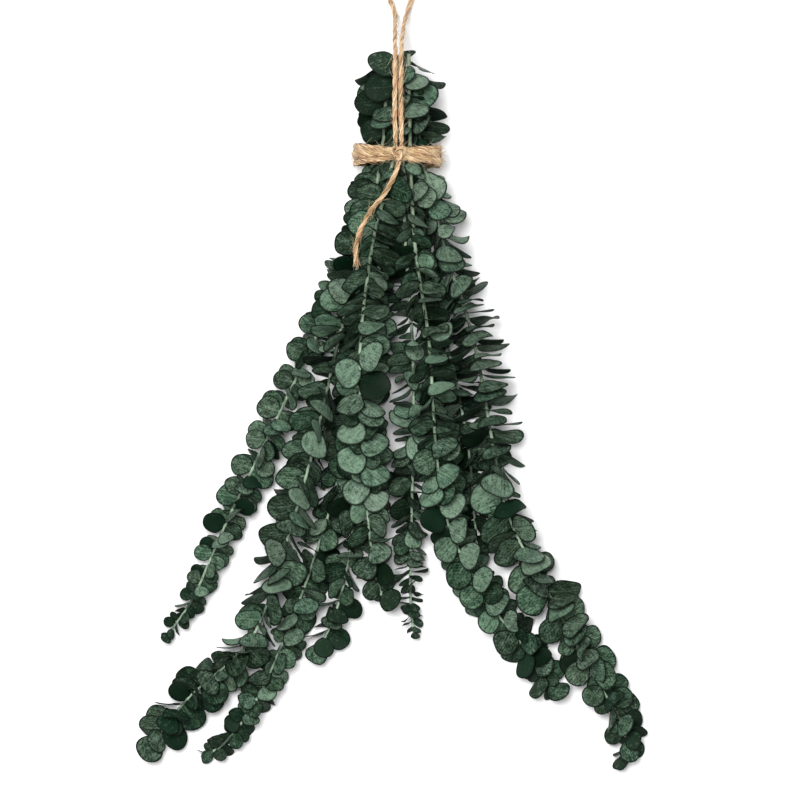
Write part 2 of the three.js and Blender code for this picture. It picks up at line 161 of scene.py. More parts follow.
def chanceFrom(seed):
    state = seed
    while True:
        state = (state * 1664525 + 1013904223) % 4294967296
        yield state / 4294967296


# how a leaf may be moved from its free pose, in degrees, the least change first
bends = (0, 15, -15, 30, -30, 45, 60)
rolls = (0, 25, -25, 50, -50)
swings = (0, 30, -30, 60, -60)
changes = np.array(sorted([(bend, roll, swing) for bend in bends for roll in rolls for swing in swings],
                          key=lambda change: sum(abs(part) for part in change)), dtype=float)


def around(side, up, angle):
    angle = np.asarray(angle)[..., None]
    return side * np.cos(angle) + up * np.sin(angle)


def poseLeaves(node, size):
    # all poses that the changes give a leaf, as arrays
    bend, roll, swing = changes.T
    degrees = np.clip(node["spread"] - bend, leafRule["leastSpread"], leafRule["mostSpread"])
    spread = np.radians(degrees)[:, None]
    radial = around(node["side"], node["up"], np.radians(node["azimuth"] + swing))
    axis = node["tangent"] * np.cos(spread) + radial * np.sin(spread)
    normal = node["tangent"] * np.sin(spread) - radial * np.cos(spread)
    flat = node["up"] - axis * dot(node["up"], axis)[:, None]
    flip = dot(flat, normal) < -leafRule["turnOver"] * np.linalg.norm(flat, axis=1)
    flat[flip] *= -1
    w = np.clip((degrees - leafRule["flatFrom"]) / (leafRule["flatFull"] - leafRule["flatFrom"]), 0, 1)
    faceUp = (node["faceUp"] * w * w * (3 - 2 * w))[:, None]
    normal = unit(normal * (1 - faceUp) + flat * faceUp)
    turn = np.radians(node["roll"] + roll)[:, None]
    normal = (normal * np.cos(turn) + np.cross(axis, normal) * np.sin(turn)
              + axis * dot(axis, normal)[:, None] * (1 - np.cos(turn)))
    length = node["length"] * size
    reach = leafRule["reach"] * length
    return {"axis": axis, "normal": normal, "across": np.cross(normal, axis), "length": length,
            "reach": reach, "centre": node["root"] + axis * reach}


def fits(node, p):
    # clear of its own stem, of the tie's wall and of the surface that the bunch lies on
    steepness = np.sqrt(np.maximum(0, 1 - p["normal"][:, 2] ** 2))
    lowest = p["centre"][:, 2] - p["reach"] * steepness - leafRule["thickness"] / 2
    good = (lowest >= 0) & (dot(p["axis"], node["out"]) >= leafRule["leastLift"])
    for u, v in leafRule["rows"]:
        for hand in (-1, 1):
            corner = p["axis"] * (u * p["length"]) + p["across"] * (hand * v * p["length"])
            if u < 0.5:
                good &= dot(corner, node["out"]) >= leafRule["leastHeight"]
            off = np.cross(corner + node["root"] - node["point"], node["tangent"])
            good &= np.linalg.norm(off, axis=1) >= node["stemRadius"] + leafRule["thickness"]
    turns = np.arange(leafRule["outlinePoints"]) / leafRule["outlinePoints"] * 2 * math.pi
    for share in leafRule["outlineRings"]:
        for turn in turns:
            edge = (p["centre"] + p["axis"] * (math.cos(turn) * p["reach"] * share)
                    + p["across"] * (math.sin(turn) * p["reach"] * share))
            near = np.abs(edge[:, 1]) <= tie["turns"] * tie["twine"] / 2 + tie["room"]
            ring = np.hypot(edge[:, 0] / tie["halfWidth"],
                            (edge[:, 2] - tie["centreHeight"]) / tie["halfHeight"])
            good &= ~(near & (ring > tie["inside"]) & (ring < tie["outside"]))
    return good


def clearOfLeaves(p, i, others, room):
    # two round leaves are clear where, along the line of both planes, their discs don't meet
    between = others["centre"] - p["centre"][i]
    far = np.linalg.norm(between, axis=1) > p["reach"] + others["reach"] + room
    line = np.cross(p["normal"][i], others["normal"])
    slope = np.linalg.norm(line, axis=1)
    offA = np.abs(dot(between, others["normal"])) - room
    offB = np.abs(dot(between, p["normal"][i])) - room
    safe = np.maximum(slope, 1e-9)
    reachA = (p["reach"] + leafRule["gap"] / 2) ** 2 - (np.maximum(0, offA) / safe) ** 2
    reachB = (others["reach"] + leafRule["gap"] / 2) ** 2 - (np.maximum(0, offB) / safe) ** 2
    apart = (reachA <= 0) | (reachB <= 0)
    halfChords = np.sqrt(np.maximum(reachA, 0)) + np.sqrt(np.maximum(reachB, 0))
    beside = np.abs(dot(between, line) / safe) > halfChords
    return bool(np.all(far | np.where(slope < leafRule["parallel"], offA > 0, apart | beside)))


def clearOfRods(p, i, points, radii):
    away = points - p["centre"][i]
    high = dot(away, p["normal"][i])
    out = np.maximum(0, np.sqrt(np.maximum(0, dot(away, away) - high * high)) - p["reach"])
    nearest = radii + leafRule["thickness"] / 2 + leafRule["gap"]
    return bool(np.all(high * high + out * out > nearest * nearest))


def fitLeaf(node, grown, rods, room, sizes):
    # the first size and the least change that fit, or nothing
    others = None
    if grown["count"]:
        n = grown["count"]
        away = np.linalg.norm(grown["centre"][:n] - node["point"], axis=1)
        near = away < grown["reach"][:n] + leafRule["leafReach"] * node["length"]
        others = {key: grown[key][:n][near] for key in ("centre", "normal", "reach")}
    close = np.linalg.norm(rods["points"] - node["point"], axis=1) < leafRule["rodReach"]
    points, radii = rods["points"][close], rods["radii"][close]
    for size in sizes:
        p = poseLeaves(node, size)
        for i in np.flatnonzero(fits(node, p)):
            if others is not None and not clearOfLeaves(p, i, others, room):
                continue
            if clearOfRods(p, i, points, radii):
                return {"axis": p["axis"][i], "normal": p["normal"][i], "across": p["across"][i],
                        "centre": p["centre"][i], "length": p["length"], "reach": p["reach"]}
    return None


def nodeAt(stem, line, s, facing, varied, size):
    # where a leaf grows, and its free pose
    point, tangent = line.at(s)
    side = unit(np.cross(tangent, (0, 0, 1)))
    up = np.cross(side, tangent)
    out = around(side, up, math.radians(facing))
    node = {"point": point, "tangent": tangent, "side": side, "up": up, "out": out,
            "root": point + out * (line.radius(s) * math.sqrt(0.5)), "stemRadius": line.radius(s)}
    node["azimuth"] = facing + varied(leafRule["azimuth"])
    closing = readOff(closingAtTip, s / line.length)
    node["spread"] = readOff(spreadByDistance, point[1]) - closing + varied(leafRule["spread"])
    node["roll"] = varied(leafRule["roll"])
    node["faceUp"] = min(1, max(0, readOff(stem["faceUp"], point[1]) + varied(leafRule["faceUp"])))
    node["length"] = size * (1 + varied(leafRule["length"]))
    return node


def sizeAt(stem, share):
    return readOff(sizeAlongStem + [(1, stem["tipSize"])], share) * stem["leaf"]


def growLeaves():
    # first the pairs that the solids have too, in the same order, then young leaves wherever there is room
    chance = chanceFrom(leafRule["seed"])
    lines = [StemLine(stem) for stem in stems]
    stemRods = []
    for line in lines:
        places = np.arange(stemRule["rodPoints"]) / (stemRule["rodPoints"] - 1) * line.length
        stemRods.append(np.array([line.at(s)[0] for s in places]))
    twineRods = [smoothRoute(route, stemRule["rodPoints"]) for route in (loopRoute, tailRoute)]
    most = leafRule["most"]
    grown = {"count": 0, "centre": np.zeros((most, 3)), "normal": np.zeros((most, 3)),
             "reach": np.zeros(most)}
    leaves = []

    def varied(width):
        return width * (next(chance) - 0.5)

    def rodsFor(n):
        others = [rod for m, rod in enumerate(stemRods) if m != n]
        radii = [np.full(len(rod), tie["twine"] / 2) for rod in twineRods]
        radii += [np.full(len(rod), stemRule["radiusAtCut"]) for rod in others]
        return {"points": np.vstack(twineRods + others), "radii": np.concatenate(radii)}

    def grow(n, node, rods, s, room, sizes):
        leaf = fitLeaf(node, grown, rods, room, sizes)
        if leaf is None:
            return False
        c = grown["count"]
        for key in ("centre", "normal", "reach"):
            grown[key][c] = leaf[key]
        grown["count"] = c + 1
        leaf.update(stem=n, s=s, root=node["root"])
        leaves.append(leaf)
        return True

    room = leafRule["thickness"] + leafRule["gap"]
    bare = []
    for n, (stem, line) in enumerate(zip(stems, lines)):
        rods = rodsFor(n)
        s, k = stem["spacing"] * 0.5, 0
        while s < line.length - leafRule["tipRoom"]:
            size = sizeAt(stem, s / line.length)
            shrink = min(1, size / stem["leaf"] + leafRule["sizeSlack"])
            step = stem["spacing"] * (leafRule["leastStep"] + leafRule["stepBySize"] * shrink)
            aside = 90 + young["turn"] * (1 - 2 * (k % 2))
            for face in (k % 4, (k + 2) % 4):
                facing = stem["turn"] - 90 * face
                node = nodeAt(stem, line, s, facing, varied, size)
                if not grow(n, node, rods, s, room, leafRule["sizes"]):
                    bare.append((n, s, facing))
                if s + step / 2 < line.length - young["tipRoom"]:
                    bare.append((n, s + step / 2, facing + aside))
            s += step
            k += 1
    for n, s, facing in bare:
        stem, line = stems[n], lines[n]
        node = nodeAt(stem, line, s, facing, varied, sizeAt(stem, s / line.length) * young["size"])
        grow(n, node, rodsFor(n), s, young["room"], young["sizes"])
    return lines, leaves


lines, leaves = growLeaves()
print("leaves placed:", len(leaves))

# The growth rule's millimetres have the tie at x 0, y 0 and the surface at z 0; the frame says where that is
bandLow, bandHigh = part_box("twine_band")
tieInFrame = np.array([(bandLow[0] + bandHigh[0]) / 2, (bandLow[1] + bandHigh[1]) / 2,
                       bandLow[2] - (tie["centreHeight"] - tie["halfHeight"]) * 0.001])
surfaceHeight = -tieInFrame[2] * 1000  # the surface under the bunch, in the rule's millimetres


def inFrame(points):
    return np.asarray(points) * 0.001 + tieInFrame


# The camera looks straight down on the bunch, and the cut ends are at the top of the picture
shot = {"centre": (1.8, -147), "across": 480, "height": 2600, "lens": 195, "near": 0.1, "far": 20}


def placeCamera():
    camera = bpy.data.objects.new("camera", bpy.data.cameras.new("camera"))
    bpy.context.scene.collection.objects.link(camera)
    camera.location = inFrame((*shot["centre"], shot["height"]))
    camera.data.lens = shot["lens"]
    camera.data.sensor_width = shot["across"] * shot["lens"] / (shot["height"] - tie["centreHeight"])
    camera.data.clip_start = shot["near"]
    camera.data.clip_end = shot["far"]
    bpy.context.scene.camera = camera


placeCamera()


# Nodes of a material: a named kind with its values, and its links to what feeds it
class Recipe:
    def __init__(self, name):
        self.material = bpy.data.materials.new(name)
        self.material.use_nodes = True
        self.tree = self.material.node_tree
        self.surface = self.tree.nodes["Principled BSDF"]

    def node(self, kind, settings=None, **inputs):
        made = self.tree.nodes.new("ShaderNode" + kind)
        for key, value in (settings or {}).items():
            setattr(made, key, value)
        for key, value in inputs.items():
            self.feed(made, key, value)
        return made

    def feed(self, node, key, value):
        socket = node.inputs[int(key[1:])] if key[0] == "i" and key[1:].isdigit() else node.inputs[key]
        if isinstance(value, bpy.types.NodeSocket):
            self.tree.links.new(value, socket)
        else:
            socket.default_value = value

    def maths(self, operation, a, b=0.0, clamp=False):
        return self.node("Math", {"operation": operation, "use_clamp": clamp}, i0=a, i1=b).outputs[0]

    def noise(self, where, scale, detail, roughness=0.5):
        made = self.node("TexNoise", None, Vector=where, Scale=scale, Detail=detail, Roughness=roughness)
        return made.outputs["Fac"]

    def swing(self, noise, amount):
        # a noise about zero, times an amount
        return self.maths("MULTIPLY", self.maths("SUBTRACT", noise, 0.5), amount)

    def relief(self, height, strength, depth):
        bump = self.node("Bump", None, Height=height, Strength=strength, Distance=depth)
        self.feed(self.surface, "Normal", bump.outputs[0])

    def blend(self, share, a, b):
        made = self.node("Mix", {"data_type": "RGBA"})
        self.feed(made, "Factor", share)
        self.feed(made, "i6", a)
        self.feed(made, "i7", b)
        return made.outputs[2]

    def ramp(self, value, *stops):
        made = self.node("ValToRGB", None, Fac=value)
        band = made.color_ramp
        while len(band.elements) < len(stops):
            band.elements.new(0.5)
        for element, (place, colour) in zip(band.elements, stops):
            element.position = place
            element.color = (*colour, 1) if len(colour) == 3 else colour
        return made.outputs[0]


# Colours are linear: dark, middle and light of each leaf side, then its veins and its dark rim, which is
# partly the leaf's own margin and partly painted shade
leafLook = {
    "dark": (0.003, 0.012, 0.005), "middle": (0.034, 0.066, 0.039), "light": (0.140, 0.215, 0.148),
    "underDark": (0.010, 0.026, 0.014), "underLight": (0.190, 0.290, 0.205),
    "vein": (0.230, 0.340, 0.235), "rim": (0.002, 0.006, 0.003),
    "veinPairs": 7, "veinSlant": 0.75, "ribWidth": 0.017, "rimFrom": 0.86,
    "mottle": 260, "mottledWithPaintedLight": 1.2, "grained": 1.9, "streaks": (2.6, 17.0, 1.0), "streaked": 1.5,
    "roughness": 0.42, "shine": 0.08, "relief": 0.55, "depth": 0.0004,
}


def leafMaterial():
    look = leafLook
    m = Recipe("leafSkin")
    tone = m.node("Attribute", {"attribute_name": "leafTone"})
    parts = m.node("SeparateColor", None, Color=tone.outputs["Color"])
    value, hue, upper = parts.outputs[0], parts.outputs[1], parts.outputs[2]
    leafMap = m.node("UVMap", {"uv_map": "leafMap"}).outputs[0]
    place = m.node("SeparateXYZ", None, Vector=leafMap)
    along = place.outputs[0]
    across = m.maths("ABSOLUTE", m.maths("SUBTRACT", place.outputs[1], 0.5))
    where = m.node("TexCoord").outputs["Object"]
    coarse = m.noise(where, look["mottle"], 4.0, 0.6)
    fine = m.noise(where, look["mottle"] * 3.5, 4.0, 0.75)
    # streaks that run from the leaf's base to its tip, different on every leaf: partly the leaf's own
    # streaks, partly painted highlight
    shifted = m.node("CombineXYZ", None, X=m.maths("MULTIPLY", hue, 40.0), Y=m.maths("MULTIPLY", value, 40.0))
    lie = m.node("Mapping", None, Vector=leafMap, Location=shifted.outputs[0], Scale=look["streaks"])
    streakAndGlint = m.noise(lie.outputs[0], 1.0, 3.0, 0.65)
    # colour of the upper and the lower side, by leaf and by mottling; the strong mottling, grain and streaks
    # are partly the leaf's own texture and partly painted highlight and painted shade
    shade = m.maths("ADD", m.maths("MULTIPLY", value, 0.72), m.swing(coarse, look["mottledWithPaintedLight"]))
    shade = m.maths("ADD", shade, m.swing(streakAndGlint, look["streaked"]))
    shade = m.maths("ADD", shade, m.maths("ADD", m.swing(fine, look["grained"]), 0.1), True)
    top = m.ramp(shade, (0.08, look["dark"]), (0.5, look["middle"]), (0.95, look["light"]))
    under = m.ramp(shade, (0.1, look["underDark"]), (0.95, look["underLight"]))
    skin = m.blend(upper, under, top)
    warm = m.node("HueSaturation", None, Color=skin)
    m.feed(warm, "Hue", m.maths("ADD", 0.485, m.maths("MULTIPLY", hue, 0.03)))
    m.feed(warm, "Saturation", m.maths("ADD", 0.82, m.maths("MULTIPLY", hue, 0.35)))
    # midrib, and side veins that leave it slantwise
    rib = m.maths("MULTIPLY", m.maths("SUBTRACT", 1.05, along), look["ribWidth"])
    midrib = m.maths("SUBTRACT", 1.0, m.maths("DIVIDE", across, rib), True)
    bent = m.maths("SUBTRACT", along, m.maths("MULTIPLY", m.maths("POWER", across, 0.8), look["veinSlant"]))
    wavy = m.maths("ADD", bent, m.swing(coarse, 0.05))
    wave = m.maths("SINE", m.maths("MULTIPLY", wavy, 2 * math.pi * look["veinPairs"]))
    sideVein = m.maths("MULTIPLY", m.maths("SUBTRACT", wave, 0.86), 7.0, True)
    fade = m.maths("SUBTRACT", 1.0, m.maths("MULTIPLY", across, 1.7), True)
    vein = m.maths("MAXIMUM", midrib, m.maths("MULTIPLY", m.maths("MULTIPLY", sideVein, fade), 0.4))
    # veins show less on the darkest leaves
    clear = m.maths("ADD", 0.3, m.maths("MULTIPLY", value, 0.7), True)
    veined = m.blend(m.maths("MULTIPLY", vein, clear), warm.outputs[0], (*look["vein"], 1))
    # a thin dark rim: partly the leaf's own darker margin, partly painted shade at the leaf's edge
    edge = m.node("Attribute", {"attribute_name": "leafEdge"}).outputs["Fac"]
    rim = m.maths("MULTIPLY", m.maths("SUBTRACT", edge, look["rimFrom"]), 11.0, True)
    rimmed = m.blend(m.maths("MULTIPLY", rim, 0.95), veined, (*look["rim"], 1))
    m.feed(m.surface, "Base Color", rimmed)
    rough = m.maths("ADD", look["roughness"], m.maths("MULTIPLY", fine, 0.25))
    m.feed(m.surface, "Roughness", rough)
    m.surface.inputs["Specular IOR Level"].default_value = look["shine"]
    height = m.maths("ADD", m.maths("MULTIPLY", vein, 0.6), m.maths("MULTIPLY", fine, 0.5))
    m.relief(height, look["relief"], look["depth"])
    return m.material


barkLook = {
    "young": (0.280, 0.390, 0.275), "old": (0.170, 0.190, 0.120), "cut": (0.480, 0.400, 0.250),
    "dark": (0.020, 0.040, 0.022), "grain": (900, 160, 900), "grained": 0.8, "patches": 95, "patched": 0.9,
    "roughness": 0.5, "shine": 0.3, "relief": 0.5, "depth": 0.0003,
}


def barkMaterial():
    look = barkLook
    m = Recipe("stemBark")
    tone = m.node("Attribute", {"attribute_name": "leafTone"})
    parts = m.node("SeparateColor", None, Color=tone.outputs["Color"])
    age, cut = parts.outputs[0], parts.outputs[1]
    where = m.node("TexCoord").outputs["Object"]
    stretched = m.node("Mapping", None, Vector=where, Scale=look["grain"]).outputs[0]
    grain = m.noise(stretched, 1.0, 4.0, 0.6)
    mixed = m.maths("ADD", age, m.swing(grain, look["grained"]), True)
    bark = m.blend(mixed, (*look["young"], 1), (*look["old"], 1))
    ends = m.blend(cut, bark, (*look["cut"], 1))
    # dark lengths between the pale ones
    patch = m.maths("ADD", m.noise(where, look["patches"], 2.0), m.maths("MULTIPLY", grain, 0.4))
    dark = m.maths("MULTIPLY", m.maths("SUBTRACT", patch, 0.6), 5.0, True)
    streaked = m.blend(m.maths("MULTIPLY", dark, look["patched"]), ends, (*look["dark"], 1))
    m.feed(m.surface, "Base Color", streaked)
    m.feed(m.surface, "Roughness", m.maths("ADD", look["roughness"], m.maths("MULTIPLY", grain, 0.3)))
    m.surface.inputs["Specular IOR Level"].default_value = look["shine"]
    m.relief(grain, look["relief"], look["depth"])
    return m.material


juteLook = {
    "dark": (0.100, 0.042, 0.016), "middle": (0.540, 0.310, 0.145), "light": (0.860, 0.670, 0.430),
    "streaks": (55, 3.0, 1), "streaked": 1.2, "patches": 160.0, "patched": 0.8, "tint": 0.035,
    "roughness": 0.86, "shine": 0.2, "sheen": 0.25, "relief": 0.8, "depth": 0.0003,
}


def juteMaterial():
    look = juteLook
    m = Recipe("juteFibre")
    strand = m.node("Attribute", {"attribute_name": "strandTone"}).outputs["Fac"]
    lie = m.node("UVMap", {"uv_map": "strandMap"}).outputs[0]
    streaks = m.node("Mapping", None, Vector=lie, Scale=look["streaks"]).outputs[0]
    fibre = m.noise(streaks, 1.0, 5.0, 0.65)
    where = m.node("TexCoord").outputs["Object"]
    patch = m.noise(where, look["patches"], 3.0, 0.6)
    shade = m.maths("ADD", m.maths("MULTIPLY", strand, 0.7), m.swing(fibre, look["streaked"]))
    shade = m.maths("ADD", shade, m.maths("ADD", m.swing(patch, look["patched"]), 0.14), True)
    colour = m.ramp(shade, (0.05, look["dark"]), (0.45, look["middle"]), (0.85, look["light"]))
    # some strands are yellowish and others reddish
    tinted = m.node("HueSaturation", None, Color=colour)
    tint = m.maths("FRACT", m.maths("MULTIPLY", strand, 7.3))
    m.feed(tinted, "Hue", m.maths("ADD", 0.485, m.maths("MULTIPLY", tint, look["tint"])))
    m.feed(m.surface, "Base Color", tinted.outputs[0])
    m.surface.inputs["Roughness"].default_value = look["roughness"]
    m.surface.inputs["Specular IOR Level"].default_value = look["shine"]
    m.surface.inputs["Sheen Weight"].default_value = look["sheen"]
    m.relief(fibre, look["relief"], look["depth"])
    return m.material


leafSkin, stemBark, juteFibre = leafMaterial(), barkMaterial(), juteMaterial()
print("materials made")


# Parts of a mesh gathered as arrays: corners, quads and triangles with materials, and values for the looks
class Gathered:
    def __init__(self):
        self.corners, self.quads, self.quadSlots, self.tris, self.triSlots = [], [], [], [], []
        self.maps, self.tones, self.edges = [], [], []
        self.count = 0

    def add(self, corners, quads, tris, slot, maps, tones, edges):
        self.corners.append(corners)
        self.quads.append(quads + self.count)
        self.tris.append(tris + self.count)
        self.quadSlots.append(np.full(len(quads), slot))
        self.triSlots.append(np.full(len(tris), slot))
        self.maps.append(maps)
        self.tones.append(tones)
        self.edges.append(edges)
        self.count += len(corners)

    def build(self, name, materials, mapName, toneName, edgeName):
        corners = np.vstack(self.corners)
        quads, tris = np.vstack(self.quads), np.vstack(self.tris)
        mesh = bpy.data.meshes.new(name)
        mesh.vertices.add(len(corners))
        mesh.vertices.foreach_set("co", corners.astype(np.float32).ravel())
        loops = np.concatenate([quads.ravel(), tris.ravel()]).astype(np.int32)
        mesh.loops.add(len(loops))
        mesh.loops.foreach_set("vertex_index", loops)
        starts = np.concatenate([np.arange(len(quads)) * 4, len(quads) * 4 + np.arange(len(tris)) * 3])
        mesh.polygons.add(len(quads) + len(tris))
        mesh.polygons.foreach_set("loop_start", starts.astype(np.int32))
        slots = np.concatenate(self.quadSlots + self.triSlots)
        mesh.polygons.foreach_set("material_index", slots.astype(np.int32))
        mesh.polygons.foreach_set("use_smooth", np.ones(len(quads) + len(tris), dtype=bool))
        mesh.update(calc_edges=True)
        uv = mesh.uv_layers.new(name=mapName)
        uv.data.foreach_set("uv", np.vstack(self.maps)[loops].astype(np.float32).ravel())
        if toneName:
            layer = mesh.color_attributes.new(toneName, "FLOAT_COLOR", "POINT")
            tones = np.hstack([np.vstack(self.tones), np.ones((self.count, 1))])
            layer.data.foreach_set("color", tones.astype(np.float32).ravel())
        edge = mesh.attributes.new(edgeName, "FLOAT", "POINT")
        edge.data.foreach_set("value", np.concatenate(self.edges).astype(np.float32))
        mesh.validate()
        for material in materials:
            mesh.materials.append(material)
        piece = bpy.data.objects.new(name, mesh)
        bpy.context.scene.collection.objects.link(piece)
        return piece


# Leaf blades: round, a little cupped and waved, with a thick rim; lengths are shares of the leaf's length
blade = {
    "rings": (0.26, 0.52, 0.76, 0.93, 1.0), "around": 26,
    "radius": 0.505, "middle": 0.51, "thickness": 0.42, "rimThickness": 0.22,
    "arch": 0.045, "cup": 0.06, "fold": 0.055, "wave": 0.03, "uneven": 0.055,
    "collar": 0.075, "collarWidth": 0.42, "flatBase": 0.2, "clearance": 0.1,
}


def bladeTemplate():
    around, rings = blade["around"], len(blade["rings"])
    side = 1 + rings * around
    quads, tris = [], []
    for i in range(around):
        j = (i + 1) % around
        tris.append((0, 1 + i, 1 + j))
        tris.append((side, side + 1 + j, side + 1 + i))
        for r in range(rings - 1):
            a, b = 1 + r * around, 1 + (r + 1) * around
            quads.append((a + i, b + i, b + j, a + j))
            quads.append((side + a + j, side + b + j, side + b + i, side + a + i))
        last = 1 + (rings - 1) * around
        quads.append((last + i, side + last + i, side + last + j, last + j))
    return np.array(quads), np.array(tris)


bladeQuads, bladeTris = bladeTemplate()


def bladeShape(random):
    # places along and across, height over the flat, half thickness and distance from the middle, for one side
    turns = np.arange(blade["around"]) / blade["around"] * 2 * math.pi
    outline = 1 + blade["uneven"] * (random.normal() * 0.5 * np.cos(2 * turns)
                                     + random.normal() * 0.5 * np.cos(3 * turns + random.uniform(0, 6))
                                     + random.normal() * 0.25 * np.cos(5 * turns + random.uniform(0, 6)))
    toBase = np.abs(turns - math.pi)
    collar = blade["collar"] * np.exp(-((toBase / blade["collarWidth"]) ** 2))
    rings = np.array(blade["rings"])[:, None]
    reach = blade["radius"] * outline * rings + collar * rings**3
    along = np.concatenate([[blade["middle"]], (blade["middle"] + reach * np.cos(turns)).ravel()])
    across = np.concatenate([[0.0], (reach * np.sin(turns) * random.uniform(0.94, 1.06)).ravel()])
    out = np.concatenate([[0.0], (rings * np.ones(blade["around"])).ravel()])
    turn = np.concatenate([[0.0], (np.ones(len(rings))[:, None] * turns).ravel()])
    cup = blade["cup"] * random.uniform(-0.6, 1.3)
    fold = blade["fold"] * random.uniform(-0.2, 1.2)
    height = 4 * blade["arch"] * along * (1 - along) + cup * (out**2 - 0.4)
    height += fold * (np.sqrt(across**2 + 0.0016) * 2 - 0.3)
    height += blade["wave"] * random.normal() * out**3 * np.cos(3 * turn + random.uniform(0, 6))
    height += blade["wave"] * random.normal() * out**3 * np.cos(2 * turn + random.uniform(0, 6))
    height *= np.clip(along / blade["flatBase"], 0, 1)
    full, thin = blade["thickness"] / 2, blade["rimThickness"] / 2
    half = thin + (full - thin) * np.sqrt(np.clip(1 - out**3, 0, 1))
    return along, across, height, half, out


def addBlade(gathered, leaf, random, tone):
    along, across, height, half, out = bladeShape(random)
    middle = (leaf["root"] + leaf["axis"] * (along * leaf["length"])[:, None]
              + leaf["across"] * (across * leaf["length"])[:, None]
              + leaf["normal"] * (height * leaf["length"])[:, None])
    lift = leaf["normal"] * half[:, None]
    corners = np.vstack([middle + lift, middle - lift])
    corners[:, 2] = np.maximum(corners[:, 2], surfaceHeight + blade["clearance"])
    maps = np.tile(np.column_stack([along, across + 0.5]), (2, 1))
    tones = np.zeros((len(corners), 3))
    tones[:, 0], tones[:, 1] = tone
    tones[:len(along), 2] = 1
    gathered.add(inFrame(corners), bladeQuads, bladeTris, 0, maps, tones, np.tile(out, 2))


# How light the leaves are, from 0 to 1: the last ones of each stem are darker, and a few are painted nearly
# black as shade for the deep gaps between leaves
leafTones = {
    "middle": 0.52, "spread": 0.25, "tipDarker": 0.55, "tipFrom": 0.84, "tipOver": 0.1,
    "cutDarker": 0.25, "cutOver": 15, "shadowBlackShare": 0.05, "black": -0.5, "seed": 100,
}

# Stems: round, thicker at each pair of leaves, with a narrow tip
stalk = {
    "sides": 10, "step": 2.2, "share": 0.7, "swell": 0.3, "swellLength": 1.1, "end": 0.35, "endLength": 6,
    "age": 0.8, "ageLength": 1.6,
}


def frames(points):
    # directions across a path that turn as little as they can from one point to the next
    tangents = unit(np.gradient(points, axis=0))
    across = np.zeros_like(points)
    start = np.cross(tangents[0], (0, 0, 1.0))
    if np.linalg.norm(start) < 0.1:
        start = np.cross(tangents[0], (1.0, 0, 0))
    across[0] = unit(start)
    for i in range(1, len(points)):
        moved = across[i - 1] - tangents[i] * dot(across[i - 1], tangents[i])
        across[i] = unit(moved)
    return tangents, across, np.cross(tangents, across)


def tubeMesh(points, radii, sides):
    # a closed tube with a middle point at each end
    _, across, up = frames(points)
    n = len(points)
    turns = np.arange(sides) / sides * 2 * math.pi
    ring = (across[:, None] * np.cos(turns)[None, :, None] + up[:, None] * np.sin(turns)[None, :, None])
    corners = (points[:, None] + ring * radii[:, None, None]).reshape(-1, 3)
    corners = np.vstack([corners, points[0], points[-1]])
    i, k = np.meshgrid(np.arange(sides), np.arange(n - 1))
    j = (i + 1) % sides
    ahead = (k + 1) * sides
    quads = np.stack([k * sides + i, k * sides + j, ahead + j, ahead + i], axis=-1).reshape(-1, 4)
    i = np.arange(sides)
    j = (i + 1) % sides
    start = np.stack([np.full(sides, n * sides), j, i], axis=-1)
    last = (n - 1) * sides
    end = np.stack([np.full(sides, n * sides + 1), last + i, last + j], axis=-1)
    return corners, quads, np.vstack([start, end])


def addStalk(gathered, line, leafPlaces):
    places = np.linspace(0, line.length, int(line.length / stalk["step"]))
    joints = sorted({round(s, 3) for s in leafPlaces})
    places = np.unique(np.concatenate([places, [s + d for s in joints for d in (-1, 0, 1)]]))
    places = places[(places >= 0) & (places <= line.length)]
    points = np.array([line.at(s)[0] for s in places])
    radii = np.array([line.radius(s) for s in places]) * stalk["share"]
    for s in joints:
        radii = radii * (1 + stalk["swell"] * np.exp(-(((places - s) / stalk["swellLength"]) ** 2)))
    toTip = np.clip((places - line.length + stalk["endLength"]) / stalk["endLength"], 0, 1)
    radii = radii * (1 - (1 - stalk["end"]) * toTip**2)
    sides = stalk["sides"]
    corners, quads, tris = tubeMesh(points, radii, sides)
    age = np.clip(1 - places / line.length * stalk["ageLength"], 0, 1) * stalk["age"]
    tones = np.zeros((len(corners), 3))
    tones[: len(places) * sides, 0] = np.repeat(age, sides)
    tones[-2, 1] = 1
    maps = np.column_stack([np.append(np.repeat(places, sides), [0, places[-1]]), np.zeros(len(corners))])
    gathered.add(inFrame(corners), quads, tris, 1, maps, tones, np.zeros(len(corners)))


def stemPiece(n, stem, line):
    random = np.random.default_rng(leafTones["seed"] + n)
    gathered = Gathered()
    own = [leaf for leaf in leaves if leaf["stem"] == n]
    addStalk(gathered, line, [leaf["s"] for leaf in own])
    for leaf in own:
        toTip = np.clip((leaf["s"] / line.length - leafTones["tipFrom"]) / leafTones["tipOver"], 0, 1)
        toCut = np.clip(leaf["root"][1] / leafTones["cutOver"], 0, 1)
        value = random.normal(leafTones["middle"], leafTones["spread"])
        value -= leafTones["tipDarker"] * toTip
        value -= leafTones["cutDarker"] * toCut
        # a few leaves at random are painted nearly black, as shade for the deep gaps between leaves
        if random.uniform() < leafTones["shadowBlackShare"]:
            value = leafTones["black"]
        addBlade(gathered, leaf, random, (np.clip(value, leafTones["black"], 1), random.uniform()))
    words = stem["name"].split("_")
    name = words[0] + "".join(word.capitalize() for word in words[1:])
    piece = gathered.build(name, [leafSkin, stemBark], "leafMap", "leafTone", "leafEdge")
    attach(piece, "root")
    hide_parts(stem["name"])


for n, (stem, line) in enumerate(zip(stems, lines)):
    stemPiece(n, stem, line)
print("leafy stems built")

# Jute: a softly twisted yarn of many thin strands, which lies flat where it is wound tight
jute = {
    "strands": 15, "yarnRadius": 1.12, "strandRadius": 0.34, "strandSizes": (0.6, 1.2), "sides": 5,
    "pitch": 19, "step": 1.0, "wander": 0.2, "swing": 0.3, "wanderLength": 9, "goldenAngle": 2.39996,
    "tone": 0.55, "toneSpread": 0.36,
}
frayed = {"length": 8, "spread": 1.2, "thinner": 0.55}


